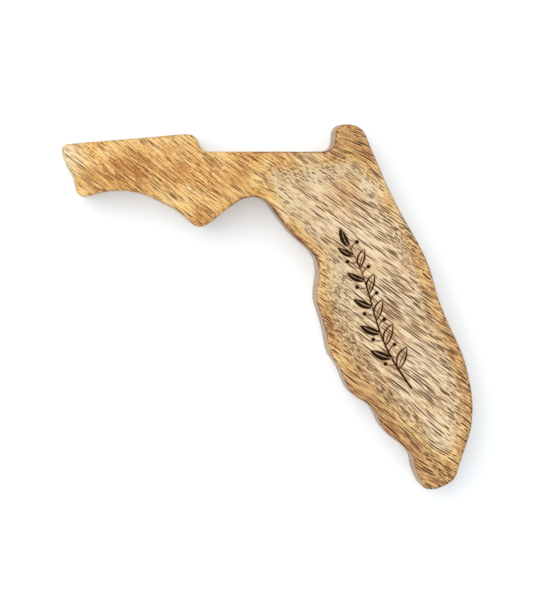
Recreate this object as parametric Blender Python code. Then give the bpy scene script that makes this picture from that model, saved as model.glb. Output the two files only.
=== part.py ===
"""A one-piece wooden trinket dish, cut in the map outline of a state with a panhandle.

The dish is a single board with eased edges. A scoop with a rounded lip and a coved wall is carved in the
peninsula, from the neck to the southern tip. The panhandle, the knob and the tip keep the full thickness.

The plan is drawn as a map: x runs east of the neck, y runs north of the neck's straight top edge. All sizes
are in metres. Rims are measured east to west, from the shore to the mouth of the scoop.
"""

import math

import bmesh
import bpy
import numpy as np

# Board
THICKNESS = 0.016
TOP_EDGE_ROUND = 0.0011
BOTTOM_EDGE_ROUND = 0.0008

# Panhandle, west of the neck
PANHANDLE_LENGTH = 0.0596
PANHANDLE_WIDTH = 0.0236
CREST_LENGTH = 0.0406
CREST_RISE = 0.0055
CREST_FALL = 0.0034
STEP_LEAN = 0.0018

# Neck, and the knob above the peninsula
NECK_WIDTH = 0.0138
KNOB_PLACE = 0.0226
KNOB_WIDTH = 0.0079
KNOB_HEIGHT = 0.0083

# Peninsula, east and south of the neck
PENINSULA_LENGTH = 0.1016
PENINSULA_REACH = 0.0641
PENINSULA_WIDTH = 0.0368

# Scoop
SCOOP_DEPTH = 0.005
SCOOP_START = 0.0004
LIP_ROUND = 0.0016
COVE_RADIUS = 0.009
KNOB_SWELL = 0.0042
RIM_NORTH = 0.0033
RIM_EAST = 0.0031
RIM_SOUTHEAST = 0.0019
RIM_BAY = 0.0023
RIM_GULF = 0.0018
RIM_SOUTHWEST = 0.0044
RIM_SOUTH = 0.0062
RIM_TIP = 0.0072
WALL_WEST = 0.0105
WALL_NECK = 0.0135
WALL_NORTH = 0.009
WALL_EAST = 0.0062
WALL_SOUTH = 0.014

# Fineness
CORNER_STEPS = 5
SCOOP_LEVELS = 14
EDGE_STEPS = 3
LIP_STEPS = 2
COVE_STEPS = 4

# Part of the scoop's width that its two side walls may take together where it is narrow
WALL_SHARE = 0.75

# Southern shore of the panhandle, east to west: shares of its length and width, and how round
PANHANDLE_SHORE = (
    (0.167, 0.738, 0.9),
    (0.261, 0.931, 1.0),
    (0.309, 0.965, 1.0),
    (0.416, 0.730, 0.9),
    (0.597, 0.509, 1.0),
    (0.747, 0.488, 1.0),
    (0.878, 0.582, 1.0),
    (0.914, 0.527, 1.0),
    (0.922, 0.350, 1.0),
    (0.967, 0.171, 1.0),
)

# Eastern shore, north to south: shares of the peninsula's length and reach, and how round
EAST_SHORE = (
    (0.151, 0.634, 1.0),
    (0.317, 0.792, 1.0),
    (0.457, 0.850, 1.0),
    (0.608, 0.967, 1.0),
    (0.730, 1.007, 1.0),
    (0.819, 1.002, 1.0),
    (0.927, 0.943, 1.0),
    (0.974, 0.922, 1.0),
    (1.001, 0.836, 1.0),
    (1.000, 0.771, 1.0),
)

# Gulf shore, south to north: share of the peninsula's length, width there as a share of the peninsula's
# own, and how round
GULF_SHORE = (
    (0.942, 0.354, 1.0),
    (0.901, 0.406, 1.0),
    (0.872, 0.510, 1.0),
    (0.827, 0.722, 1.0),
    (0.748, 0.826, 1.0),
    (0.719, 1.005, 1.0),
    (0.632, 1.051, 1.0),
    (0.599, 1.101, 1.0),
    (0.531, 1.039, 1.0),
    (0.488, 1.016, 1.0),
    (0.437, 1.007, 1.0),
    (0.401, 0.972, 1.0),
    (0.353, 0.917, 1.0),
    (0.311, 0.906, 1.0),
)

# Bay, from the end of the gulf shore up to the underside of the neck: how far back towards the neck, how
# far up, and how round
BAY_SHORE = (
    (0.16, 0.17, 1.0),
    (0.44, 0.39, 1.0),
    (0.66, 0.66, 1.0),
    (0.86, 0.95, 1.0),
    (1.08, 1.03, 1.0),
    (1.30, 0.99, 1.0),
)

# Rims of the scoop, north to south: share of the peninsula's length, western rim and eastern rim
SCOOP_RIMS = (
    (0.322, RIM_BAY, RIM_EAST),
    (0.413, RIM_GULF, RIM_EAST),
    (0.557, RIM_GULF, RIM_EAST),
    (0.638, RIM_SOUTHWEST, RIM_EAST),
    (0.720, RIM_SOUTHWEST, RIM_SOUTHEAST),
    (0.828, RIM_SOUTH, RIM_SOUTHEAST),
)

WOOD_COLOUR = (0.56, 0.29, 0.105, 1.0)
WOOD_ROUGHNESS = 0.5


def clear_scene():
    for existing in list(bpy.data.objects):
        bpy.data.objects.remove(existing, do_unlink=True)


def panhandle_corners():
    """Corners of the panhandle, from the neck's underside round the western end to the top edge."""
    shore = [(-PANHANDLE_LENGTH * west, -PANHANDLE_WIDTH * south, round_share)
             for west, south, round_share in PANHANDLE_SHORE]
    crest = [
        (-PANHANDLE_LENGTH, CREST_RISE - CREST_FALL, 1.0),
        (CREST_LENGTH - PANHANDLE_LENGTH, CREST_RISE, 1.0),
        (CREST_LENGTH + STEP_LEAN - PANHANDLE_LENGTH, 0.0, 0.7),
    ]
    return shore + crest


def knob_corners():
    """Corners of the knob, west to east."""
    return [
        (KNOB_PLACE, 0.0, 0.9),
        (KNOB_PLACE, KNOB_HEIGHT, 0.9),
        (KNOB_PLACE + KNOB_WIDTH, KNOB_HEIGHT, 1.0),
    ]


def east_corners():
    return [(PENINSULA_REACH * east, -PENINSULA_LENGTH * south, round_share)
            for south, east, round_share in EAST_SHORE]


def shore_at(y, corners):
    """How far east of the neck a shore lies at y, from its corners in order from north to south."""
    return np.interp(-y, [-corner[1] for corner in corners], [corner[0] for corner in corners])


def east_edge(y):
    """The eastern shore at y, from the knob down to the last corner before the southern tip turns west."""
    return shore_at(y, knob_corners()[-1:] + east_corners()[:-2])


def gulf_corners():
    corners = []
    for south, width, round_share in GULF_SHORE:
        y = -PENINSULA_LENGTH * south
        corners.append((east_edge(y) - PENINSULA_WIDTH * width, y, round_share))
    return corners


def bay_corners():
    """Corners between the end of the gulf shore and the underside of the neck."""
    gulf_x, gulf_y, _ = gulf_corners()[-1]
    return [(gulf_x * (1 - west), gulf_y + (-NECK_WIDTH - gulf_y) * north, round_share)
            for west, north, round_share in BAY_SHORE]


def west_edge(y):
    """The bay's shore or the gulf shore at y, from where the bay starts to run south."""
    return shore_at(y, bay_corners()[-2::-1] + gulf_corners()[::-1])


def coast_corners():
    """Corners of the whole outline, clockwise from the underside of the neck."""
    return panhandle_corners() + knob_corners() + east_corners() + gulf_corners() + bay_corners()


def mouth_at(y):
    """Western and eastern side of the scoop's mouth at y."""
    south = [share * PENINSULA_LENGTH for share, _, _ in SCOOP_RIMS]
    west_rim = np.interp(-y, south, [rim for _, rim, _ in SCOOP_RIMS])
    east_rim = np.interp(-y, south, [rim for _, _, rim in SCOOP_RIMS])
    return max(SCOOP_START, west_edge(y) + west_rim), east_edge(y) - east_rim


def scoop_corners(inwards):
    """Corners of the scoop, clockwise. Inwards is 0 for its mouth and 1 for the edge of its floor."""
    top = -RIM_NORTH - inwards * WALL_NORTH
    bottom = RIM_TIP + inwards * WALL_SOUTH - PENINSULA_LENGTH
    west_side = []
    east_side = []
    for level in range(SCOOP_LEVELS):
        y = top + (level + 1) / SCOOP_LEVELS * (bottom - top)
        west, east = mouth_at(y)
        fit = min(1.0, WALL_SHARE * (east - west) / (WALL_WEST + WALL_EAST))
        west_side.append((west + fit * inwards * WALL_WEST, y, 1.0))
        east_side.append((east - fit * inwards * WALL_EAST, y, 1.0))
    swell = KNOB_SWELL * (1 - inwards)
    east_end = east_edge(top + swell / 2) - RIM_EAST - inwards * WALL_EAST
    north_side = [
        (SCOOP_START + inwards * WALL_NECK, top, 1.0),
        (KNOB_PLACE * 0.7, top, 1.0),
        (KNOB_PLACE, top + swell / 2, 1.0),
        (KNOB_PLACE + KNOB_WIDTH / 2, top + swell, 1.0),
        (east_end, top + swell / 2, 1.0),
    ]
    return north_side + east_side + west_side[::-1]


def round_corners(corners):
    """Points of a closed outline whose corners are rounded, each over its share of its shorter side."""
    points = []
    for index, (x, y, round_share) in enumerate(corners):
        corner = np.array((x, y))
        to_last = np.array(corners[index - 1][:2]) - corner
        to_next = np.array(corners[(index + 1) % len(corners)][:2]) - corner
        shorter = min(np.linalg.norm(to_last), np.linalg.norm(to_next))
        start = corner + to_last * (round_share * shorter / 2 / np.linalg.norm(to_last))
        end = corner + to_next * (round_share * shorter / 2 / np.linalg.norm(to_next))
        for step in range(CORNER_STEPS):
            t = (step + 0.5) / CORNER_STEPS
            points.append((1 - t) ** 2 * start + 2 * t * (1 - t) * corner + t ** 2 * end)
    return np.array(points)


def draw_in(outline, distance):
    """The clockwise outline, moved inwards by distance."""
    along = np.roll(outline, -1, axis=0) - np.roll(outline, 1, axis=0)
    along /= np.linalg.norm(along, axis=1)[:, None]
    inwards = np.stack((along[:, 1], -along[:, 0]), axis=1)
    return outline + distance * inwards


def eased_edge(radius):
    """Inset and height above the board's face of each ring of an eased edge, from the face outwards."""
    angles = [math.pi / 2 * step / EDGE_STEPS for step in range(EDGE_STEPS + 1)]
    return [(radius * (1 - math.sin(angle)), radius * (1 - math.cos(angle))) for angle in angles]


def board_profile():
    """Inset and height of each ring of the board's side, from the underside to the top."""
    bottom = eased_edge(BOTTOM_EDGE_ROUND)
    top = [(inset, THICKNESS - depth) for inset, depth in eased_edge(TOP_EDGE_ROUND)]
    return bottom + top[::-1]


def scoop_profile():
    """Each ring of the scoop's wall, from the mouth to the floor: share of the wall's width, and depth.

    The lip and the cove are arcs, and the straight wall between them touches both."""
    arcs = LIP_ROUND + COVE_RADIUS
    left_over = arcs - SCOOP_DEPTH
    slope = math.asin(arcs / math.hypot(WALL_WEST, left_over)) - math.atan2(left_over, WALL_WEST)
    rings = []
    for step in range(LIP_STEPS + 1):
        angle = slope * step / LIP_STEPS
        rings.append((LIP_ROUND * math.sin(angle) / WALL_WEST, LIP_ROUND * (1 - math.cos(angle))))
    for step in range(COVE_STEPS + 1):
        angle = slope * (1 - step / COVE_STEPS)
        run = WALL_WEST - COVE_RADIUS * math.sin(angle)
        rings.append((run / WALL_WEST, SCOOP_DEPTH - COVE_RADIUS * (1 - math.cos(angle))))
    return rings


def add_ring(bm, outline, height):
    """Edges of a closed ring at one height."""
    verts = [bm.verts.new((x, y, height)) for x, y in outline]
    return [bm.edges.new((vert, verts[(index + 1) % len(verts)])) for index, vert in enumerate(verts)]


def bridge(bm, rings):
    for lower, upper in zip(rings, rings[1:]):
        bmesh.ops.bridge_loops(bm, edges=lower + upper)


def build_dish():
    """The board with its scoop, as one closed mesh centred over its bounding box."""
    coast = round_corners(coast_corners())
    centre = (coast.min(axis=0) + coast.max(axis=0)) / 2
    bm = bmesh.new()
    side = [add_ring(bm, draw_in(coast, inset) - centre, height) for inset, height in board_profile()]
    mouth = round_corners(scoop_corners(0))
    floor = round_corners(scoop_corners(1))
    wall = [add_ring(bm, mouth + inwards * (floor - mouth) - centre, THICKNESS - depth)
            for inwards, depth in scoop_profile()]
    bridge(bm, side)
    bridge(bm, wall)
    bmesh.ops.triangle_fill(bm, edges=side[0], use_beauty=True)
    bmesh.ops.triangle_fill(bm, edges=side[-1] + wall[0], use_beauty=True)
    bmesh.ops.triangle_fill(bm, edges=wall[-1], use_beauty=True)
    bmesh.ops.recalc_face_normals(bm, faces=bm.faces)
    mesh = bpy.data.meshes.new("dish")
    bm.to_mesh(mesh)
    bm.free()
    mesh.shade_smooth()
    mesh.set_sharp_from_angle(angle=math.radians(40))
    return mesh


def wood():
    material = bpy.data.materials.new("oiled_hardwood")
    material.use_nodes = True
    shader = material.node_tree.nodes["Principled BSDF"]
    shader.inputs["Base Color"].default_value = WOOD_COLOUR
    shader.inputs["Roughness"].default_value = WOOD_ROUGHNESS
    shader.inputs["Metallic"].default_value = 0.0
    return material


def main():
    clear_scene()
    dish = bpy.data.objects.new("dish", build_dish())
    dish.data.materials.append(wood())
    bpy.context.scene.collection.objects.link(dish)


main()
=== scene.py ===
"""Dresses the trinket dish: one oiled board with open vessels, scorched edges and a burnt sprig.

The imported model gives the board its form. Here it gets an even, fine mesh, the small unevenness
of carving and sanding, the groove of a burning pen, and wood that runs through it as a solid.
"""
import math

import bmesh
import bpy
import numpy as np
from bpy.props import FloatProperty, FloatVectorProperty, IntProperty, PointerProperty
from mathutils import Matrix, Vector, noise
from mathutils.bvhtree import BVHTree


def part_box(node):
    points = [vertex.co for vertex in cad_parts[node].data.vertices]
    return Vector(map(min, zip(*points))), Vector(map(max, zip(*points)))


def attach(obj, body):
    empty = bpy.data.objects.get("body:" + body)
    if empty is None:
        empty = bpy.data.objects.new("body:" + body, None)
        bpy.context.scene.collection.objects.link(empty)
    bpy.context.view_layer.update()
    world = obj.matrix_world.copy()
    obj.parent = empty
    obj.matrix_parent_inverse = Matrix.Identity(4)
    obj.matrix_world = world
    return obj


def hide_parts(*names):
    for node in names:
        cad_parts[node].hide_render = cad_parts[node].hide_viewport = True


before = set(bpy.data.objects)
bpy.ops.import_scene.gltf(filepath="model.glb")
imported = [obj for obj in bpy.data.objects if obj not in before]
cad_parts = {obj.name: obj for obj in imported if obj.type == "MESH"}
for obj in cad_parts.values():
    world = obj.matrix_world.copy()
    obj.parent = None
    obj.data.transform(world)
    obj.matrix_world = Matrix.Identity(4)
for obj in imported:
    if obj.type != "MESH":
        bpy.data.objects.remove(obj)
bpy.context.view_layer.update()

bl_info = {
    "name": "Trinket dish dresser",
    "version": (1, 0, 0),
    "blender": (4, 5, 0),
    "location": "3D View > Sidebar > Trinket dish",
    "description": "Finishes the carved board, burns its sprig and sets the studio around it",
    "category": "Object",
}

MM = 0.001
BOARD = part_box("dish")
RIM_HEIGHT = BOARD[1][2]

# In these tables a place is seen from above, and it and its reach are in millimetres

# Where the grain turns: the place, the reach, how far the grain drops for each millimetre along it
SWIRLS = (
    ((25.0, 48.5), 16.0, -0.25),
    ((50.0, -50.0), 16.0, -0.2),
)

# Where the wood is paler (more than 0) or darker: the place, the reach, how much
TONES = (
    ((-59.0, 44.0), 10.0, 0.6),
    ((-55.0, 33.5), 6.0, 0.5),
    ((-48.0, 46.5), 7.0, 0.25),
    ((-41.0, 50.0), 9.0, 0.3),
    ((-34.5, 50.0), 6.0, 0.3),
    ((-26.0, 49.5), 8.0, 0.3),
    ((-42.0, 42.5), 9.0, -0.35),
    ((-34.5, 34.0), 6.0, 0.3),
    ((-28.5, 33.0), 6.0, 0.25),
    ((-27.5, 39.5), 6.0, -0.25),
    ((-26.0, 31.5), 9.0, 0.4),
    ((-15.0, 44.5), 6.0, 0.3),
    ((-15.0, 35.0), 9.0, 0.15),
    ((-8.5, 40.0), 5.0, -0.2),
    ((-8.5, 34.0), 5.0, 0.25),
    ((-1.0, 38.5), 8.0, 0.35),
    ((5.5, 33.5), 8.0, 0.5),
    ((12.0, 39.5), 9.0, 0.3),
    ((12.5, 44.5), 7.0, 0.7),
    ((25.0, 31.0), 9.0, -0.35),
    ((31.5, 38.5), 8.0, 0.35),
    ((37.7, 24.5), 9.0, 0.6),
    ((44.5, 12.0), 6.0, -0.25),
    ((18.0, 13.5), 7.0, 0.5),
    ((18.5, 6.0), 6.0, 0.5),
    ((18.0, -7.0), 5.0, -0.3),
    ((44.5, 1.5), 6.0, 0.6),
    ((51.0, -9.0), 8.0, 0.2),
    ((51.0, -38.0), 9.0, 0.5),
    ((51.0, -20.5), 5.0, -0.25),
    ((57.5, -42.0), 5.0, -0.35),
    ((44.5, -42.5), 4.0, -0.3),
    ((46.0, -20.0), 11.0, 0.2),
    ((40.0, -31.0), 10.0, 0.25),
    ((44.5, -33.5), 7.0, 0.85),
    ((58.0, -14.5), 6.0, -0.15),
)

# Where the wood is barer and drier (more than 0) or holds more oil: the place, the reach, how much
BARE_PATCHES = (
    ((-61.0, 45.0), 9.0, 0.6),
    ((4.5, 28.5), 5.0, 0.4),
    ((11.5, 44.0), 6.0, 0.25),
    ((24.5, 42.0), 8.0, -0.25),
    ((24.5, 31.5), 11.0, -0.45),
    ((31.5, 35.0), 7.0, 0.3),
    ((37.5, 25.0), 7.0, 0.3),
    ((44.0, 1.5), 6.0, 0.3),
    ((51.0, -44.0), 7.0, -0.1),
)

# Where fewer vessels show: the place, the reach, how many fewer as a share
CALM_PATCHES = (
    ((16.5, 9.5), 9.0, 0.3),
    ((8.5, 27.0), 8.0, 0.2),
    ((44.5, -34.5), 8.0, 0.35),
)

# Where a painted highlight runs as a pale line along the scoop's lip: the place, the reach, how
# pale
LIP_HIGHLIGHTS = (
    ((34.0, -30.0), 10.0, 0.6),
    ((40.0, -37.0), 13.0, 0.7),
    ((48.0, -42.0), 13.0, 0.7),
    ((54.0, -45.0), 10.0, 0.6),
    ((10.0, 28.0), 14.0, 0.4),
)

# Where the rims took up more oil: the place, the reach, how much
STAINS = (
    ((25.0, 50.0), 19.0, 0.45),
    ((40.0, 24.0), 12.0, 0.2),
    ((55.0, -8.0), 16.0, 0.2),
    ((61.0, -28.0), 14.0, 0.2),
    ((17.0, -4.0), 11.0, 0.5),
    ((22.0, -22.0), 11.0, 0.5),
    ((31.0, -33.0), 12.0, 0.8),
    ((40.0, -43.0), 12.0, 0.8),
    ((50.0, -53.0), 13.0, 0.4),
    ((12.0, 48.5), 10.0, 0.3),
)

# Where the thin edges are scorched: the place, the reach, the width of the strip, how much
SCORCHES = (
    ((-4.0, 31.5), 11.0, 0.7, 0.8),
    ((5.5, 24.5), 10.0, 1.8, 0.7),
    ((13.0, 17.0), 9.0, 1.4, 0.75),
    ((8.0, 47.0), 17.0, 0.5, 0.9),
)

# How uneven the scorching is: flecks a millimetre, and how far it runs down the sides for them
FLICKER_SCALE = 0.9
FLICKER_HEIGHT = 3.0

# The wood's figure: how far each kind runs along the grain, across it and down through it in
# millimetres, its detail and its roughness
FIGURE = {
    "wave": (34.0, 11.0, 20.0, 1.0, 0.5),
    "ripple": (9.0, 3.0, 6.0, 1.0, 0.5),
    "hair": (6.0, 0.36, 0.5, 0.0, 0.5),
    "fibre": (9.0, 0.55, 0.9, 1.0, 0.6),
    "grit": (0.5, 0.36, 0.5, 0.0, 0.5),
    "streak": (28.0, 1.3, 2.5, 1.0, 0.5),
    "band": (50.0, 7.5, 12.0, 1.0, 0.5),
    "crowd": (14.0, 3.0, 5.0, 1.0, 0.5),
}
WAVE_HEIGHT = 2.2
RIPPLE_HEIGHT = 0.3
CLOUD_SIZE = 7.0

# How far the figure moves the tone, from 0, chestnut, to 1, cream, where two numbers stand for
# the west and the east
HAIR_CONTRAST = (0.55, 0.7)
GRIT_CONTRAST = 0.45
STREAK_CONTRAST = 0.15
BAND_CONTRAST = 0.35
CLOUD_CONTRAST = (0.3, 0.45)
PLAIN_TONE = (0.48, 0.58)
TONE_STOPS = (0.1, 0.5, 0.95)
EASTERN_BARENESS = 0.12

# The vessels: how long and how far apart they are in millimetres, and where their chances start
VESSELS = ((10.5, 0.66, 3.0), (5.0, 0.6, 41.0), (2.6, 0.5, 59.0))
VESSEL_LAYER = 0.6
VESSEL_START = 7
LAYER_STRIDE = 131
LAYER_FLATNESS = 16
VESSELS_IN_STAINS = 0.25
DOTS_ON_WALLS = 0.9

# Long fibres, laid out as vessels are, then how many there are and how thin
DARK_FIBRES = (19.0, 0.8, 19.0, 0.65, 0.18)
PALE_FIBRES = (9.0, 0.8, 77.0, 0.5, 0.2)

# Where a vessel, the wood beside it and the wood round both end and are full, with 1 at its rim
CORE_RING = (1.05, 0.75)
EDGE_RING = (1.8, 0.9)
SHEATH_RING = (3.4, 1.6)

# Where the western look turns into the eastern one, in millimetres east of the board's middle
EASTWARDS = (-6.0, 18.0)
OIL_EASTWARDS = (-2.0, 28.0)

# Where the scoop's wall begins and ends and how deep its floor is, in millimetres below the rim
WALL_TOP = (0.1, 0.8)
WALL_FOOT = (4.9, 4.2)
SCOOP_DEPTH = 5

# Where the grain follows the scoop's eastern and southern walls, in millimetres: the way out to
# the wall, how far out, where the south starts and how much sooner it counts there, where the
# north ends it, and a place it leaves out. The wood's layers rise with the wall by a share.
OUTWARDS = (0.874, 0.485)
FOLLOWED = (25.0, 32.0)
FOLLOWED_SOUTH = (-33.0, -39.0)
SOUTHERN_LEAD = 7.0
FOLLOWED_NORTH = (39.0, 29.0)
NOT_FOLLOWED = ((42.5, 16.5), 9.0)
SLOPE_SHARE = 0.75

# How strongly each mark shows
LIP_HIGHLIGHT_SHOWS = 0.9
PALE_FIBRES_SHOW = 0.2
DARK_FIBRES_SHOW = 0.5
SHEATH_SHOWS = (0.12, 0.28)
EDGE_SHOWS = 0.6
SINGED_RIM_SHOWS = 0.5
SIDE_REFLECTION_SHOWS = 0.7
SCORCH_TO_CHAR = 0.3

# The finish
OIL_IOR = 1.47
OIL_GLOSS = 0.35
CHAR_GLOSS = 0.1
CHAR_ROUGHNESS = 0.9
FIBRE_ROUGHNESS = (-0.06, 0.06)
VESSEL_ROUGHNESS = 0.25
FIBRE_RELIEF = (-0.075, 0.075)
RELIEF_STRENGTH = 0.6
RELIEF_DEPTH = 0.12 * MM

# The sprig: shares of the stem, of a leaf or of the pen's width, unless a unit is named
STEM_END = 0.86
STEM_FOOT_WIDTH = 1.25
STEM_THINNING = 0.75
LEAVES_FROM = 0.12
LEAVES_OVER = 0.74
LEAF_SHRINKING = 0.32
LEAF_SPREAD_DEGREES = 46
LEAF_CLOSING_DEGREES = 10
LEAF_CURL = 0.35
LEAF_BARED = 0.8
LEAF_RIB = 0.66
TIP_LEAF_FROM = 0.84
TIP_LEAF_SIZE = 0.85
BERRY_AHEAD = 0.035
BERRY_SPREAD_DEGREES = 62
BERRY_RADIUS = 0.6 * MM
STALK_LENGTH = 3.0 * MM
STALK_BELLY = 0.12
THIN_LINE = 0.6
BARED_LINE = 0.5
LINE_ENDS = 0.35
LINE_BLUNTNESS = 0.6
LEAF_FULLNESS = 0.9
LEAF_FULL_AT = 0.85
BOW_STEPS = 14
STEM_STEPS = 60
FAR_OFF = 10 * MM

# How the board faces, by the rise of its normal: less than this on its sides, more than this
# where the pen works, and more than this where the top's numbers count
UPRIGHT = 0.1
LEVEL = 0.5
FACING_UP = 0.3

# The carving: what is joined, cut finer, sunk round the pen's line, and kept true at the foot,
# then how much finer, fainter and further in the small unevenness is
MERGE_REACH = 1e-6
REFINE_REACH = 0.6 * MM
GROOVE_LEAD = 0.1 * MM
GROOVE_SLOPE = 0.3 * MM
TRUE_FOOT = 1.5 * MM
SMALL_WAVER = 0.4
SMALL_WAVER_FINER = 2.7
SMALL_WAVER_SHIFT = (7.0, 3.0, 5.0)
WAVER_INWARDS = 0.35

# How far the stored numbers reach, and the strip along the sides that isn't scoop
BURN_REACH = 3
SIDE_REACH = 20
SIDE_STRIP = 1.2 * MM

# The stage: the floor's colour is one for the light on the dish and another for the camera
FLOOR_REACH = 3.0
FLOOR_LIT = (0.8, 0.8, 0.8)
FLOOR_SEEN = (1.25, 1.32, 1.37)
WHITE = (1.0, 1.0, 1.0)
SENSOR_WIDTH = 36.0
NEAR_CLIP = 0.01
UP_IN_PICTURE = (0.0, 1.0, 0.0)


def screen(red, green, blue):
    """A colour as a screen shows it, 0 to 255, in the linear numbers that shaders take."""
    shares = (channel / 255 for channel in (red, green, blue))
    return tuple(s / 12.92 if s <= 0.04045 else ((s + 0.055) / 1.055) ** 2.4 for s in shares)


# The sizes and colours that a user may change


class BoardSettings(bpy.types.PropertyGroup):
    """How finely the board is meshed and how evenly it was carved and sanded."""

    grid: FloatProperty(
        name="Grid",
        description="Spacing of the board's fine mesh",
        default=0.5 * MM,
        min=0.4 * MM,
        unit="LENGTH",
    )
    sanding: IntProperty(
        name="Sanding",
        description="How many passes ease the edges of the mesh",
        default=3,
        min=0,
    )
    waver: FloatProperty(
        name="Waver",
        description="How far the carved surfaces wander from their true form",
        default=0.07 * MM,
        unit="LENGTH",
    )
    waver_length: FloatProperty(
        name="Waver length",
        description="Distance from one shallow hollow of the carving to the next",
        default=7 * MM,
        unit="LENGTH",
    )


class SprigSettings(bpy.types.PropertyGroup):
    """The sprig that is burnt into the floor of the scoop."""

    foot: FloatVectorProperty(
        name="Foot",
        description="Where the stem starts, seen from above",
        default=(43.5 * MM, -24.5 * MM),
        size=2,
        unit="LENGTH",
    )
    tip: FloatVectorProperty(
        name="Tip",
        description="Where the last leaf ends, seen from above",
        default=(19.5 * MM, 25.5 * MM),
        size=2,
        unit="LENGTH",
    )
    sway: FloatProperty(
        name="Sway",
        description="How far the stem swings to each side of a straight line",
        default=1.6 * MM,
        unit="LENGTH",
    )
    pairs: IntProperty(
        name="Leaves a side",
        description="How many leaves grow on each side of the stem",
        default=5,
        min=1,
    )
    leaf_length: FloatProperty(
        name="Leaf length",
        description="Length of the longest leaf",
        default=7.6 * MM,
        unit="LENGTH",
    )
    leaf_width: FloatProperty(
        name="Leaf width",
        description="Width of the longest leaf",
        default=2.6 * MM,
        unit="LENGTH",
    )
    pen: FloatProperty(
        name="Pen width",
        description="Width of the burnt line",
        default=0.5 * MM,
        unit="LENGTH",
    )
    depth: FloatProperty(
        name="Burn depth",
        description="How deep the burning pen sinks into the wood",
        default=0.18 * MM,
        unit="LENGTH",
    )


class WoodSettings(bpy.types.PropertyGroup):
    """The oiled hardwood: its colours and the run of its grain."""

    cream: FloatVectorProperty(
        name="Cream",
        description="The palest fibres",
        default=screen(252, 218, 150),
        subtype="COLOR",
    )
    honey: FloatVectorProperty(
        name="Honey",
        description="The common colour of the board",
        default=screen(237, 179, 99),
        subtype="COLOR",
    )
    chestnut: FloatVectorProperty(
        name="Chestnut",
        description="The darkest growth bands and the rims",
        default=screen(172, 108, 50),
        subtype="COLOR",
    )
    bleached: FloatVectorProperty(
        name="Bleached",
        description="The paler, drier wood in the scoop",
        default=screen(250, 236, 204),
        subtype="COLOR",
    )
    rim_stain: FloatVectorProperty(
        name="Rim stain",
        description="What tints the rims, which took up more oil",
        default=screen(206, 180, 162),
        subtype="COLOR",
    )
    vessel: FloatVectorProperty(
        name="Vessel",
        description="The open vessels, dark with oil",
        default=screen(64, 28, 17),
        subtype="COLOR",
    )
    vessel_edge: FloatVectorProperty(
        name="Vessel edge",
        description="The wood right beside a vessel, which the oil has reddened",
        default=screen(158, 84, 38),
        subtype="COLOR",
    )
    western_vessel: FloatVectorProperty(
        name="Western vessel",
        description="The vessels of the panhandle, which hold less oil",
        default=screen(90, 42, 16),
        subtype="COLOR",
    )
    scorch: FloatVectorProperty(
        name="Scorch",
        description="What tints the thin edges that the torch has caught",
        default=screen(172, 132, 104),
        subtype="COLOR",
    )
    # Painted reflection: the pale grey that the white surroundings give the sides at a grazing
    # angle
    side: FloatVectorProperty(
        name="Side",
        description="The dry, greyish sawn sides",
        default=screen(180, 162, 146),
        subtype="COLOR",
    )
    char: FloatVectorProperty(
        name="Char",
        description="Burnt wood",
        default=screen(38, 25, 17),
        subtype="COLOR",
    )
    grain_angle: FloatProperty(
        name="Grain angle",
        description="How far the grain falls away to the right",
        default=math.radians(38.75),
        subtype="ANGLE",
    )
    grain_spread: FloatProperty(
        name="Grain spread",
        description="How much the grain opens, as a share per millimetre along it",
        default=-0.0017,
        precision=4,
    )
    grain_dip: FloatProperty(
        name="Grain dip",
        description="How far the grain sinks into the board as it runs",
        default=math.radians(1.8),
        subtype="ANGLE",
    )
    roughness: FloatProperty(
        name="Roughness",
        description="Gloss of the oiled surface, lower is glossier",
        default=0.46,
        min=0.0,
        max=1.0,
    )


class StudioSettings(bpy.types.PropertyGroup):
    """The floor, the light and the camera."""

    lamp_power: FloatProperty(
        name="Lamp power",
        description="Strength of the large soft lamp",
        default=9.2,
        unit="POWER",
    )
    lamp_size: FloatProperty(
        name="Lamp size",
        description="Side of the square soft lamp",
        default=1.5,
        unit="LENGTH",
    )
    lamp_place: FloatVectorProperty(
        name="Lamp place",
        description="Where the lamp hangs, up and to the left",
        default=(-0.6, 0.6, 1.2),
        unit="LENGTH",
    )
    sky: FloatProperty(
        name="Sky",
        description="Strength of the white light from all round",
        default=0.7,
    )
    camera_place: FloatVectorProperty(
        name="Camera place",
        description="Where the camera stands",
        default=(-0.05666, 0.04048, 0.815),
        unit="LENGTH",
    )
    aim: FloatVectorProperty(
        name="Aim",
        description="The point in the middle of the picture",
        default=(-0.00066, 0.00048, 0.015),
        unit="LENGTH",
    )
    picture_width: FloatProperty(
        name="Picture width",
        description="Width of what the picture shows at the point of aim",
        default=0.1593,
        unit="LENGTH",
    )


# The sprig, drawn as strokes of a burning pen


def sprig_frame(sprig):
    """The sprig's foot, the direction of its tip and its length, seen from above."""
    foot = np.array(sprig.foot)
    run = np.array(sprig.tip) - foot
    length = np.linalg.norm(run)
    return foot, run / length, length


def stem_point(sprig, share):
    """A point on the stem, which sways to one side and then to the other."""
    foot, ahead, length = sprig_frame(sprig)
    aside = np.array((-ahead[1], ahead[0]))
    return foot + ahead * length * share + aside * sprig.sway * math.sin(2 * math.pi * share)


def turned(direction, angle):
    """A direction in plan, turned anticlockwise."""
    cosine, sine = math.cos(angle), math.sin(angle)
    return np.array((direction[0] * cosine - direction[1] * sine,
                     direction[0] * sine + direction[1] * cosine))


def bow(start, direction, length, belly):
    """Points along a shallow arc that bulges to the left of its direction."""
    aside = np.array((-direction[1], direction[0]))
    shares = np.linspace(0.0, 1.0, BOW_STEPS)
    bulge = 4 * belly * shares * (1 - shares)
    return start + np.outer(shares * length, direction) + np.outer(bulge, aside)


def tapered(points, width, ends=LINE_ENDS):
    """A stroke: its points with a half width at each, thin where the pen lands and leaves."""
    shares = np.linspace(0.0, 1.0, len(points))
    return points, width / 2 * (ends + (1 - ends) * np.sin(math.pi * shares) ** LINE_BLUNTNESS)


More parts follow.
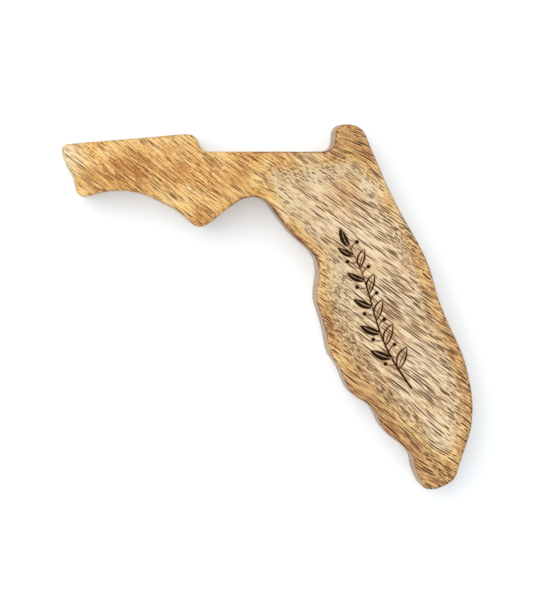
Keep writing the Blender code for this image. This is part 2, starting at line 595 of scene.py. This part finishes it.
def stem(sprig):
    """The stem, thickest at its foot."""
    shares = np.linspace(0.0, STEM_END, STEM_STEPS)
    points = np.array([stem_point(sprig, share) for share in shares])
    return points, sprig.pen / 2 * (STEM_FOOT_WIDTH - STEM_THINNING * shares)


def leaf(sprig, start, direction, size, filled):
    """One leaf: a dark blade with its midrib left pale, or an outline round a thin midrib."""
    length = sprig.leaf_length * size
    belly = sprig.leaf_width * size / 2
    curl = belly * LEAF_CURL
    if filled:
        midrib = bow(start, direction, length, curl)
        shares = np.linspace(0.0, 1.0, len(midrib))
        blade = midrib, belly * np.sin(math.pi * shares ** LEAF_FULL_AT) ** LEAF_FULLNESS
        bared = bow(start, direction, length * LEAF_BARED, curl * LEAF_BARED)
        return [blade], [tapered(bared, sprig.pen * BARED_LINE, THIN_LINE)]
    edges = [bow(start, direction, length, curl + side * belly) for side in (-1, 1)]
    rib = bow(start, direction, length * LEAF_RIB, curl * LEAF_RIB)
    strokes = [tapered(points, sprig.pen) for points in edges]
    return strokes + [tapered(rib, sprig.pen * THIN_LINE)], []


def berry(sprig, start, direction):
    """A round berry on a short stalk."""
    stalk = bow(start, direction, STALK_LENGTH, STALK_LENGTH * STALK_BELLY)
    middle = stalk[-1]
    disc = np.array((middle, middle)), np.full(2, BERRY_RADIUS)
    return [tapered(stalk, sprig.pen * THIN_LINE), disc]


def draw_sprig(sprig):
    """All strokes of the sprig, and the pale lines that are left open inside them."""
    dark, pale = [stem(sprig)], []
    _, ahead, _ = sprig_frame(sprig)
    for rank in range(sprig.pairs):
        for side in (-1, 1):
            step = rank + (0.5 if side > 0 else 0.0)
            share = LEAVES_FROM + LEAVES_OVER * step / sprig.pairs
            size = 1.0 - LEAF_SHRINKING * share
            spread = math.radians(LEAF_SPREAD_DEGREES - LEAF_CLOSING_DEGREES * share)
            start = stem_point(sprig, share)
            blade, bared = leaf(sprig, start, turned(ahead, side * spread), size, side > 0)
            dark += blade
            pale += bared
            fork = stem_point(sprig, share + BERRY_AHEAD)
            away = turned(ahead, -side * math.radians(BERRY_SPREAD_DEGREES))
            dark += berry(sprig, fork, away)
    blade, bared = leaf(sprig, stem_point(sprig, TIP_LEAF_FROM), ahead, TIP_LEAF_SIZE, True)
    return dark + blade, pale + bared


def distance_to_strokes(places, strokes):
    """How far each place is outside the nearest stroke, less than nothing inside one."""
    nearest = np.full(len(places), FAR_OFF)
    for points, halves in strokes:
        for start, end, half, next_half in zip(points, points[1:], halves, halves[1:]):
            run = end - start
            share = np.clip((places - start) @ run / max(run @ run, 1e-12), 0.0, 1.0)
            gap = np.linalg.norm(places - start - np.outer(share, run), axis=1)
            nearest = np.minimum(nearest, gap - half - share * (next_half - half))
    return nearest


def burn_depth_field(places, sprig):
    """How far each place is inside the burnt drawing, less than nothing outside it."""
    dark, pale = draw_sprig(sprig)
    return -np.maximum(distance_to_strokes(places, dark), -distance_to_strokes(places, pale))


# The board


def merged_copy(node):
    """A bmesh of a CAD node's mesh, with its loose triangles joined."""
    bm = bmesh.new()
    bm.from_mesh(node.data)
    bmesh.ops.remove_doubles(bm, verts=bm.verts, dist=MERGE_REACH)
    return bm


def side_walls(bm):
    """A search tree of the board's upright outer faces."""
    walls = [face for face in bm.faces if abs(face.normal.z) < UPRIGHT]
    corners = [vert.co.copy() for face in walls for vert in face.verts]
    triangles = [(3 * index, 3 * index + 1, 3 * index + 2) for index in range(len(walls))]
    return BVHTree.FromPolygons(corners, triangles)


def evenly_meshed(bm, board):
    """The same solid with an even mesh, as a new bmesh."""
    mesh = bpy.data.meshes.new("board_blank")
    bm.to_mesh(mesh)
    blank = bpy.data.objects.new("board_blank", mesh)
    bpy.context.scene.collection.objects.link(blank)
    remesh = blank.modifiers.new("Even mesh", "REMESH")
    remesh.mode = "VOXEL"
    remesh.voxel_size = board.grid
    seen = blank.evaluated_get(bpy.context.evaluated_depsgraph_get())
    fine = bmesh.new()
    fine.from_mesh(seen.to_mesh())
    seen.to_mesh_clear()
    bpy.data.objects.remove(blank)
    bpy.data.meshes.remove(mesh)
    return fine


def sand(bm, passes):
    """Eases the whole surface a little at a time."""
    for _ in range(passes):
        bmesh.ops.smooth_vert(
            bm,
            verts=bm.verts,
            factor=0.5,
            use_axis_x=True,
            use_axis_y=True,
            use_axis_z=True,
        )


def places_of(bm):
    """The places of all vertices as rows of numbers."""
    return np.array([vert.co[:] for vert in bm.verts])


def refine_round_sprig(bm, sprig):
    """Cuts the mesh finer where the pen's groove has its edges."""
    inside = burn_depth_field(places_of(bm)[:, :2], sprig)
    bm.verts.index_update()
    near = [
        edge
        for edge in bm.edges
        if all(inside[v.index] > -REFINE_REACH and v.normal.z > LEVEL for v in edge.verts)
    ]
    bmesh.ops.subdivide_edges(bm, edges=near, cuts=1, use_grid_fill=True)


def carve_waver(bm, board):
    """Lets the carved surfaces wander a little, as hand work does, but not the flat underside."""
    bm.normal_update()
    shift = Vector(SMALL_WAVER_SHIFT)
    for vert in bm.verts:
        if vert.co.z < TRUE_FOOT:
            continue
        broad = noise.noise(vert.co / board.waver_length)
        small = noise.noise(vert.co / board.waver_length * SMALL_WAVER_FINER + shift)
        lift = broad + SMALL_WAVER * small - WAVER_INWARDS
        vert.co += vert.normal * board.waver * lift


def sink_sprig(bm, sprig):
    """Presses the drawing into the floor of the scoop."""
    inside = burn_depth_field(places_of(bm)[:, :2], sprig)
    share = np.clip((inside + GROOVE_LEAD) / GROOVE_SLOPE, 0.0, 1.0)
    groove = share * share * (3 - 2 * share) * sprig.depth
    bm.normal_update()
    for vert, sunk in zip(bm.verts, groove):
        if vert.normal.z > LEVEL:
            vert.co.z -= sunk


def keep_in_box(bm):
    """Holds every vertex inside the CAD board's own box."""
    low, high = BOARD
    for vert in bm.verts:
        vert.co = Vector(min(max(vert.co[axis], low[axis]), high[axis]) for axis in range(3))


def set_attribute(mesh, name, values):
    """Stores one number a vertex, for the material to read."""
    layer = mesh.attributes.new(name, "FLOAT", "POINT")
    layer.data.foreach_set("value", np.asarray(values, dtype=np.float32))


def mark_surface(mesh, walls, sprig):
    """Stores where the surface is burnt, how near a side it is, and how deep in the scoop."""
    numbers = {}
    for name in ("co", "normal"):
        numbers[name] = np.empty(len(mesh.vertices) * 3)
        mesh.vertices.foreach_get(name, numbers[name])
    places = numbers["co"].reshape(-1, 3)
    faces_up = numbers["normal"].reshape(-1, 3)[:, 2] > FACING_UP
    inside = np.clip(burn_depth_field(places[:, :2], sprig) / MM, -BURN_REACH, BURN_REACH)
    set_attribute(mesh, "burn", np.where(faces_up, inside, -BURN_REACH))
    middle = RIM_HEIGHT / 2
    to_side = np.array([walls.find_nearest((x, y, middle))[3] for x, y, _ in places])
    set_attribute(mesh, "to_side", np.clip(to_side / MM, 0, SIDE_REACH))
    depth = (RIM_HEIGHT - places[:, 2]) / MM
    set_attribute(mesh, "scoop", np.where(faces_up & (to_side > SIDE_STRIP), depth, 0))


def make_board(board, sprig):
    """The finished board as an object."""
    blank = merged_copy(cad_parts["dish"])
    walls = side_walls(blank)
    bm = evenly_meshed(blank, board)
    blank.free()
    sand(bm, board.sanding)
    bm.normal_update()
    refine_round_sprig(bm, sprig)
    carve_waver(bm, board)
    sink_sprig(bm, sprig)
    keep_in_box(bm)
    bmesh.ops.recalc_face_normals(bm, faces=bm.faces)
    for face in bm.faces:
        face.smooth = True
    mesh = bpy.data.meshes.new("carved_board")
    bm.to_mesh(mesh)
    bm.free()
    mark_surface(mesh, walls, sprig)
    dish = bpy.data.objects.new("carved_board", mesh)
    bpy.context.scene.collection.objects.link(dish)
    return dish


# Materials


class Value:
    """A socket of a node tree. Arithmetic on it adds Math nodes to the tree."""

    def __init__(self, tree, socket):
        self.tree = tree
        self.socket = socket

    def _math(self, operation, *terms):
        return add_node(self.tree, "ShaderNodeMath", {"operation": operation}, *terms)[0]

    def __add__(self, other):
        return self._math("ADD", self, other)

    def __sub__(self, other):
        return self._math("SUBTRACT", self, other)

    def __mul__(self, other):
        return self._math("MULTIPLY", self, other)

    def __truediv__(self, other):
        return self._math("DIVIDE", self, other)

    def __rsub__(self, other):
        return self._math("SUBTRACT", other, self)

    __radd__ = __add__
    __rmul__ = __mul__

    def most(self, other):
        """The larger of two values."""
        return self._math("MAXIMUM", self, other)

    def whole(self):
        """The whole number at or below the value."""
        return self._math("FLOOR", self)

    def fade(self, start, end, low=0.0, high=1.0):
        """Goes smoothly from low at start to high at end."""
        settings = {"interpolation_type": "SMOOTHSTEP"}
        sockets = self, start, end, low, high
        return add_node(self.tree, "ShaderNodeMapRange", settings, *sockets)[0]

    def spread(self, low, high):
        """Goes evenly from low at 0 to high at 1."""
        return self * (high - low) + low


def add_node(tree, kind, settings, *inputs, **named):
    """Adds one node. Its settings come first, then the values or links of its sockets in order
    or by name. Returns its open outputs."""
    node = tree.nodes.new(kind)
    for key, setting in settings.items():
        if key == "stops":
            set_stops(node.color_ramp, setting)
        else:
            setattr(node, key, setting)
    sockets = [socket for socket in node.inputs if socket.enabled]
    by_name = {socket.name: socket for socket in sockets}
    pairs = list(zip(sockets, inputs)) + [(by_name[name], value) for name, value in named.items()]
    for socket, value in pairs:
        if isinstance(value, Value):
            tree.links.new(value.socket, socket)
        elif socket.type == "RGBA":
            socket.default_value = (*tuple(value)[:3], 1.0)
        else:
            socket.default_value = value
    return [Value(tree, socket) for socket in node.outputs if socket.enabled]


def set_stops(ramp, stops):
    """Sets a colour ramp's stops, given as pairs of a place and a colour."""
    while len(ramp.elements) > 1:
        ramp.elements.remove(ramp.elements[-1])
    for index, (place, colour) in enumerate(stops):
        element = ramp.elements[0] if index == 0 else ramp.elements.new(place)
        element.position = place
        element.color = (*tuple(colour)[:3], 1.0)


def blend(tree, share, first, second, how="MIX"):
    """A colour between two others."""
    settings = {"data_type": "RGBA", "blend_type": how}
    return add_node(tree, "ShaderNodeMix", settings, share, first, second)[0]


def noise_at(tree, place, scale, detail, roughness):
    """Soft noise from 0 to 1 that averages a half."""
    named = {"Scale": scale, "Detail": detail, "Roughness": roughness}
    return add_node(tree, "ShaderNodeTexNoise", {}, place, **named)[0]


def join(tree, x, y, z):
    """A place made of three numbers."""
    return add_node(tree, "ShaderNodeCombineXYZ", {}, x, y, z)[0]


def attribute(tree, name):
    """One of the numbers stored on the mesh."""
    settings = {"attribute_type": "GEOMETRY", "attribute_name": name}
    return add_node(tree, "ShaderNodeAttribute", settings)[2]


def new_material(name):
    """An empty material and its node tree."""
    material = bpy.data.materials.new(name)
    material.use_nodes = True
    material.node_tree.nodes.clear()
    return material, material.node_tree


def finish_material(tree, surface):
    """Links a shader to the material's output."""
    add_node(tree, "ShaderNodeOutputMaterial", {}, surface)


def chances(tree, *numbers):
    """Three numbers from 0 to 1, drawn at random for each set of three whole numbers."""
    settings = {"noise_dimensions": "3D"}
    colour = add_node(tree, "ShaderNodeTexWhiteNoise", settings, join(tree, *numbers))[1]
    return add_node(tree, "ShaderNodeSeparateColor", {}, colour)


class Surface:
    """What the looks of the wood depend on at a point of the board, lengths in millimetres."""

    def __init__(self, tree, wood):
        self.tree = tree
        place = add_node(tree, "ShaderNodeTexCoord", {})[3]
        scaled = {"operation": "SCALE"}
        self.spot = add_node(tree, "ShaderNodeVectorMath", scaled, place, Scale=1 / MM)[0]
        self.x, self.y, self.z = add_node(tree, "ShaderNodeSeparateXYZ", {}, self.spot)
        self.plan = join(tree, self.x, self.y, 0.0)
        self.depth = attribute(tree, "scoop")
        self.to_side = attribute(tree, "to_side")
        self.followed = self.follow_slope()
        self.grain = self.run_of_grain(wood)
        self.fibre = self.figure("fibre")
        self.cloud = noise_at(tree, self.spot, 1 / CLOUD_SIZE, 2.0, 0.5)
        self.eastern = self.x.fade(*EASTWARDS)
        wall = self.depth.fade(*WALL_TOP) * self.depth.fade(*WALL_FOOT)
        self.cut_across = wall * (1 - self.followed)

    def near(self, centre, radius):
        """1 at a place on the board, seen from above, and 0 beyond its radius."""
        settings = {"operation": "DISTANCE"}
        centre = (*centre, 0.0)
        distance = add_node(self.tree, "ShaderNodeVectorMath", settings, self.plan, centre)[0]
        return distance.fade(radius, 0.0)

    def patches(self, table):
        """The sum of the soft round patches in a table, each as strong as the table says."""
        total = 0.0
        for centre, radius, strength in table:
            total = self.near(centre, radius) * strength + total
        return total

    def follow_slope(self):
        """1 on the scoop's eastern and southern walls, where the grain follows the slope."""
        outwards = self.x * OUTWARDS[0] + self.y * OUTWARDS[1]
        outwards = outwards + self.y.fade(*FOLLOWED_SOUTH, high=SOUTHERN_LEAD)
        followed = outwards.fade(*FOLLOWED) * self.y.fade(*FOLLOWED_NORTH)
        return followed * (1 - self.near(*NOT_FOLLOWED))

    def run_of_grain(self, wood):
        """Where the point lies along the grain, across it and down through it."""
        cosine, sine = math.cos(wood.grain_angle), math.sin(wood.grain_angle)
        along = self.x * cosine - self.y * sine
        across = (self.x * sine + self.y * cosine) * (along * wood.grain_spread + 1)
        for centre, radius, turn in SWIRLS:
            middle = centre[0] * cosine - centre[1] * sine
            across = across + self.near(centre, radius) * (along - middle) * turn
        risen = (self.depth - SCOOP_DEPTH) * self.followed * SLOPE_SHARE
        down = self.z + along * math.tan(wood.grain_dip) + risen
        self.grain = along, across, down
        wave = (self.figure("wave") - 0.5) * WAVE_HEIGHT
        ripple = (self.figure("ripple") - 0.5) * RIPPLE_HEIGHT
        return along, across + wave + ripple, down

    def figure(self, name):
        """One kind of the wood's figure: noise from 0 to 1, drawn out along the grain."""
        *reach, detail, roughness = FIGURE[name]
        place = join(self.tree, *(part / size for part, size in zip(self.grain, reach)))
        return noise_at(self.tree, place, 1.0, detail, roughness)


def vessels(surface, length, spacing, seed, fill, thin):
    """Thin dashes where the surface cuts the wood's open vessels: how far the point is from the
    middle of its vessel, with 1 at the rim, and how plainly that vessel shows, from 0 to 1.

    The vessels run in tracks along the grain and in layers through the board, some tracks rich
    and some poor."""
    tree = surface.tree
    along, across, down = surface.grain
    track_at = across / spacing
    track = track_at.whole()
    depth, rich, _ = chances(tree, track, seed, 0.0)
    layer_at = down / VESSEL_LAYER + depth
    layer = layer_at.whole()
    start, _, _ = chances(tree, track, layer, seed)
    length_at = along / length + start * VESSEL_START
    segment = length_at.whole()
    present, bold, aside = chances(tree, track + layer * LAYER_STRIDE, segment, seed + 1)
    u = track_at - track - 0.5 + aside.spread(-0.25, 0.25)
    v = length_at - segment - 0.5
    w = layer_at - layer - 0.5
    half = bold.spread(0.26, 0.48)
    gap = u * u / (thin * thin) + v * v / (half * half) + w * w * w * w * LAYER_FLATNESS
    shown = (fill * rich.spread(0.4, 1.6) - present).fade(0.0, 0.04)
    return gap, shown * aside.spread(0.7, 1.0)


def long_fibres(surface, kind):
    """Fibres of another tone, longer than the vessels and less plain, from 0 to 1."""
    gap, shown = vessels(surface, *kind)
    return gap.fade(*EDGE_RING) * shown


def vessel_marks(surface, stain):
    """The open vessels, the wood right beside them and the paler wood further out, each from
    0 to 1. The long ones show on the flat and the short ones where a wall cuts across them."""
    x, steep, eastern = surface.x, surface.cut_across, surface.eastern
    # More of them show towards the east, on the walls and where oil has stained the wood
    fill = surface.figure("crowd").fade(0.35, 0.7, 0.1, 0.55)
    fill = fill + x.fade(-10.0, 15.0, high=0.2) + x.fade(15.0, 50.0, high=0.3)
    fill = fill + steep * x.fade(20.0, 38.0, 0.03, 0.38)
    fill = fill + stain * VESSELS_IN_STAINS - surface.patches(CALM_PATCHES)
    thin = x.fade(-15.0, 15.0, 0.24, 0.29)
    # How plain the long, the middling and the short ones are, each from west to east
    off_walls = steep.spread(1.0, 0.4)
    shares = (
        eastern.spread(0.55, 1.0) * off_walls,
        eastern.spread(1.0, 0.5).most(steep * DOTS_ON_WALLS),
        (eastern.spread(0.6, 0.2) * off_walls).most(steep * surface.y.fade(14.0, 2.0, high=0.7)),
    )
    marks = [0.0, 0.0, 0.0]
    for share, kind in zip(shares, VESSELS):
        gap, shown = vessels(surface, *kind, fill, thin)
        for index, ring in enumerate((CORE_RING, EDGE_RING, SHEATH_RING)):
            marks[index] = (gap.fade(*ring) * shown * share).most(marks[index])
    return marks


def plain_colour(surface, wood):
    """The wood's own colour, which its figure moves between chestnut, honey and cream."""
    eastern = surface.eastern
    hair = surface.figure("hair").fade(0.3, 0.7, -0.5, 0.5)
    grit = surface.figure("grit").fade(0.25, 0.75, -0.5, 0.5)
    tone = hair * eastern.spread(*HAIR_CONTRAST) + grit * GRIT_CONTRAST
    tone = tone + (surface.figure("streak") - 0.5) * STREAK_CONTRAST
    tone = tone + (surface.figure("band") - 0.5) * BAND_CONTRAST
    tone = tone + (surface.cloud - 0.5) * eastern.spread(*CLOUD_CONTRAST)
    tone = tone + eastern.spread(*PLAIN_TONE) + surface.patches(TONES)
    stops = list(zip(TONE_STOPS, (wood.chestnut, wood.honey, wood.cream)))
    return add_node(surface.tree, "ShaderNodeValToRGB", {"stops": stops}, tone)[0]


def bareness(surface):
    """How bare and dry the wood is, from 0 to 1, most on the floor of the scoop. Its walls towards
    the south are kept less bare, which paints shade on them.
    """
    # Painted shade: the scoop's walls that cut across the grain, towards the south, stay darker
    oiled = surface.cut_across * surface.y.fade(8.0, -18.0, high=0.5)
    scooped = surface.depth.fade(0.1, 2.8) * (1 - oiled)
    bare = scooped * surface.cloud.fade(0.3, 0.7, 0.45, 0.75)
    return bare + surface.eastern * EASTERN_BARENESS + surface.patches(BARE_PATCHES)


def oil_stain(surface):
    """How much oil the rims took up, a little more between the fibres than on them."""
    uneven = surface.fibre.fade(0.65, 0.35, 0.7, 1.3)
    return surface.patches(STAINS) * surface.depth.fade(0.6, 0.15) * uneven


def painted_lip_highlight(surface):
    """A painted highlight: the pale line that runs along parts of the scoop's lip, from 0 to 1."""
    line = surface.depth.fade(0.1, 0.4) * surface.depth.fade(1.7, 0.9)
    return line * surface.patches(LIP_HIGHLIGHTS)


def edge_heat(surface):
    """How scorched the thin edges are, from 0 to 1, most at the top of the board."""
    flicker = noise_at(surface.tree, surface.spot, FLICKER_SCALE, 1.0, 0.5) - 0.5
    heat = 0.0
    for centre, radius, width, strength in SCORCHES:
        strip = (surface.to_side + flicker * width).fade(width, 0.0)
        heat = strip * surface.near(centre, radius).fade(0.0, 0.5) * strength + heat
    return heat * (surface.z + flicker * FLICKER_HEIGHT).fade(10.0, 15.5)


def darkened_arris(surface):
    """The arris where the board's top meets its sides, darkened in a thin line, more towards the
    east.
    """
    arris = surface.to_side.fade(0.75, 0.1) * surface.z.fade(14.6, 15.4)
    return arris * surface.fibre.fade(0.7, 0.3, 0.5, 1.0) * surface.x.fade(-20.0, 14.0, 0.25, 0.65)


def painted_side_reflection(surface, heat):
    """Painted reflection: the board's upright sides, paled and greyed as if they reflected the
    white surroundings, apart from where they are scorched.
    """
    side = surface.to_side.fade(0.5, 0.15) * surface.z.fade(15.6, 14.2) * (1 - heat)
    return side.most(0.0)


def wood_material(wood):
    """Oiled open-pored hardwood that runs through the board as a solid."""
    material, tree = new_material("oiled_open_pored_wood")
    surface = Surface(tree, wood)
    stain = oil_stain(surface)
    colour = blend(tree, bareness(surface), plain_colour(surface, wood), wood.bleached)
    colour = blend(tree, stain, colour, wood.rim_stain, "MULTIPLY")
    # Painted highlight: a cream line along parts of the scoop's lip
    colour = blend(tree, painted_lip_highlight(surface) * LIP_HIGHLIGHT_SHOWS, colour, wood.cream)

    core, edge, sheath = vessel_marks(surface, stain)
    sheath = sheath * surface.eastern.spread(*SHEATH_SHOWS)
    pale = (long_fibres(surface, PALE_FIBRES) * PALE_FIBRES_SHOW).most(sheath)
    colour = blend(tree, pale, colour, wood.cream)
    dark = long_fibres(surface, DARK_FIBRES) * DARK_FIBRES_SHOW
    colour = blend(tree, dark, colour, wood.chestnut)
    colour = blend(tree, edge * EDGE_SHOWS, colour, wood.vessel_edge)
    oil = blend(tree, surface.x.fade(*OIL_EASTWARDS), wood.western_vessel, wood.vessel)
    colour = blend(tree, core, colour, oil)

    heat = edge_heat(surface)
    colour = blend(tree, heat.fade(0.0, 0.8), colour, wood.scorch, "MULTIPLY")
    colour = blend(tree, darkened_arris(surface), colour, wood.scorch, "MULTIPLY")
    burn = attribute(tree, "burn") + surface.fibre.spread(*FIBRE_RELIEF)
    colour = blend(tree, burn.fade(-0.5, 0.05, high=SINGED_RIM_SHOWS), colour, wood.chestnut)
    # Painted reflection of the white surroundings on the upright sides
    colour = blend(tree, painted_side_reflection(surface, heat) * SIDE_REFLECTION_SHOWS, colour, wood.side)

    height = surface.fibre.spread(*FIBRE_RELIEF) - core
    relief = {"Strength": RELIEF_STRENGTH, "Distance": RELIEF_DEPTH, "Height": height}
    normal = add_node(tree, "ShaderNodeBump", {}, **relief)[0]
    roughness = surface.fibre.spread(*FIBRE_ROUGHNESS) + core * VESSEL_ROUGHNESS + wood.roughness
    oiled = principled(tree, colour, roughness, normal, OIL_GLOSS)
    charred = principled(tree, wood.char, CHAR_ROUGHNESS, normal, CHAR_GLOSS)
    burnt = burn.fade(-0.05, 0.08).most(heat.fade(0.88, 1.0, high=SCORCH_TO_CHAR))
    finish_material(tree, add_node(tree, "ShaderNodeMixShader", {}, burnt, oiled, charred)[0])
    return material


def principled(tree, colour, roughness, normal, gloss):
    """Wood with a surface as glossy as given."""
    named = {"Base Color": colour, "Roughness": roughness, "Normal": normal,
             "IOR": OIL_IOR, "Specular IOR Level": gloss}
    return add_node(tree, "ShaderNodeBsdfPrincipled", {}, **named)[0]


def seen_straight(tree):
    """1 where a ray comes from the camera, off gloss or through glass, and 0 for soft light."""
    camera, _, _, gloss, _, _, glass, *_ = add_node(tree, "ShaderNodeLightPath", {})
    return camera.most(gloss).most(glass)


def floor_material():
    """A white sweep: pale to the object's own light, pure white behind it, shaded by it."""
    material, tree = new_material("white_sweep")
    colour = blend(tree, seen_straight(tree), FLOOR_LIT, FLOOR_SEEN)
    finish_material(tree, add_node(tree, "ShaderNodeBsdfDiffuse", {}, colour)[0])
    return material


# The studio


def make_floor():
    """A wide floor under the dish."""
    bm = bmesh.new()
    bmesh.ops.create_grid(bm, x_segments=1, y_segments=1, size=FLOOR_REACH)
    mesh = bpy.data.meshes.new("floor")
    bm.to_mesh(mesh)
    bm.free()
    floor = bpy.data.objects.new("floor", mesh)
    bpy.context.scene.collection.objects.link(floor)
    floor.data.materials.append(floor_material())
    return floor


def facing(place, target):
    """The placement of a camera or lamp at a place that looks at a target."""
    z = (Vector(place) - Vector(target)).normalized()
    x = Vector(UP_IN_PICTURE).cross(z).normalized()
    y = z.cross(x)
    turn = Matrix((x, y, z)).transposed().to_4x4()
    return Matrix.Translation(place) @ turn


def make_lamp(studio):
    """One large soft lamp."""
    light = bpy.data.lights.new("soft_lamp", "AREA")
    light.shape = "SQUARE"
    light.size = studio.lamp_size
    light.energy = studio.lamp_power
    lamp = bpy.data.objects.new("soft_lamp", light)
    lamp.matrix_world = facing(studio.lamp_place, (0.0, 0.0, 0.0))
    bpy.context.scene.collection.objects.link(lamp)


def make_sky(studio):
    """White light from all round, which looks pure white where it is seen."""
    world = bpy.data.worlds.new("white_studio")
    world.use_nodes = True
    tree = world.node_tree
    tree.nodes.clear()
    strength = seen_straight(tree) * (1 - studio.sky) + studio.sky
    sky = add_node(tree, "ShaderNodeBackground", {}, WHITE, strength)[0]
    add_node(tree, "ShaderNodeOutputWorld", {}, sky)
    bpy.context.scene.world = world


def make_camera(studio):
    """The camera that looks down on the dish."""
    lens = bpy.data.cameras.new("camera")
    lens.sensor_fit = "HORIZONTAL"
    lens.sensor_width = SENSOR_WIDTH
    distance = (Vector(studio.camera_place) - Vector(studio.aim)).length
    lens.lens = lens.sensor_width * distance / studio.picture_width
    lens.clip_start = NEAR_CLIP
    camera = bpy.data.objects.new("camera", lens)
    camera.matrix_world = facing(studio.camera_place, studio.aim)
    bpy.context.scene.collection.objects.link(camera)
    bpy.context.scene.camera = camera


# Operators, panel and registration


class TRINKET_OT_board(bpy.types.Operator):
    """Finish the carved board and burn the sprig into its scoop"""

    bl_idname = "trinket.board"
    bl_label = "Carved board"

    def execute(self, context):
        scene = context.scene
        dish = make_board(scene.trinket_board, scene.trinket_sprig)
        dish.data.materials.append(wood_material(scene.trinket_wood))
        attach(dish, "root")
        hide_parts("dish")
        return {"FINISHED"}


class TRINKET_OT_studio(bpy.types.Operator):
    """Set up the white floor, the soft light and the camera"""

    bl_idname = "trinket.studio"
    bl_label = "Studio"

    def execute(self, context):
        studio = context.scene.trinket_studio
        context.scene.view_settings.view_transform = "Standard"
        make_floor()
        make_lamp(studio)
        make_sky(studio)
        make_camera(studio)
        return {"FINISHED"}


class TRINKET_PT_panel(bpy.types.Panel):
    """Lists the pieces that can be made"""

    bl_idname = "TRINKET_PT_panel"
    bl_label = "Trinket dish"
    bl_space_type = "VIEW_3D"
    bl_region_type = "UI"
    bl_category = "Trinket dish"

    def draw(self, context):
        layout = self.layout
        for operator in (TRINKET_OT_board, TRINKET_OT_studio):
            layout.operator(operator.bl_idname)
        for name in SETTINGS:
            box = layout.box()
            group = getattr(context.scene, name)
            for setting in group.bl_rna.properties:
                if not setting.is_readonly and setting.identifier != "name":
                    box.prop(group, setting.identifier)


SETTINGS = {
    "trinket_board": BoardSettings,
    "trinket_sprig": SprigSettings,
    "trinket_wood": WoodSettings,
    "trinket_studio": StudioSettings,
}
CLASSES = (*SETTINGS.values(), TRINKET_OT_board, TRINKET_OT_studio, TRINKET_PT_panel)


def register():
    """Makes the settings, the operators and the panel known to Blender."""
    for cls in CLASSES:
        bpy.utils.register_class(cls)
    for name, group in SETTINGS.items():
        setattr(bpy.types.Scene, name, PointerProperty(type=group))


def unregister():
    """Takes them away again."""
    for name in SETTINGS:
        delattr(bpy.types.Scene, name)
    for cls in reversed(CLASSES):
        bpy.utils.unregister_class(cls)


def main():
    """Makes the pieces in order."""
    register()
    bpy.ops.trinket.board()
    bpy.ops.trinket.studio()


if __name__ == "__main__":
    main()
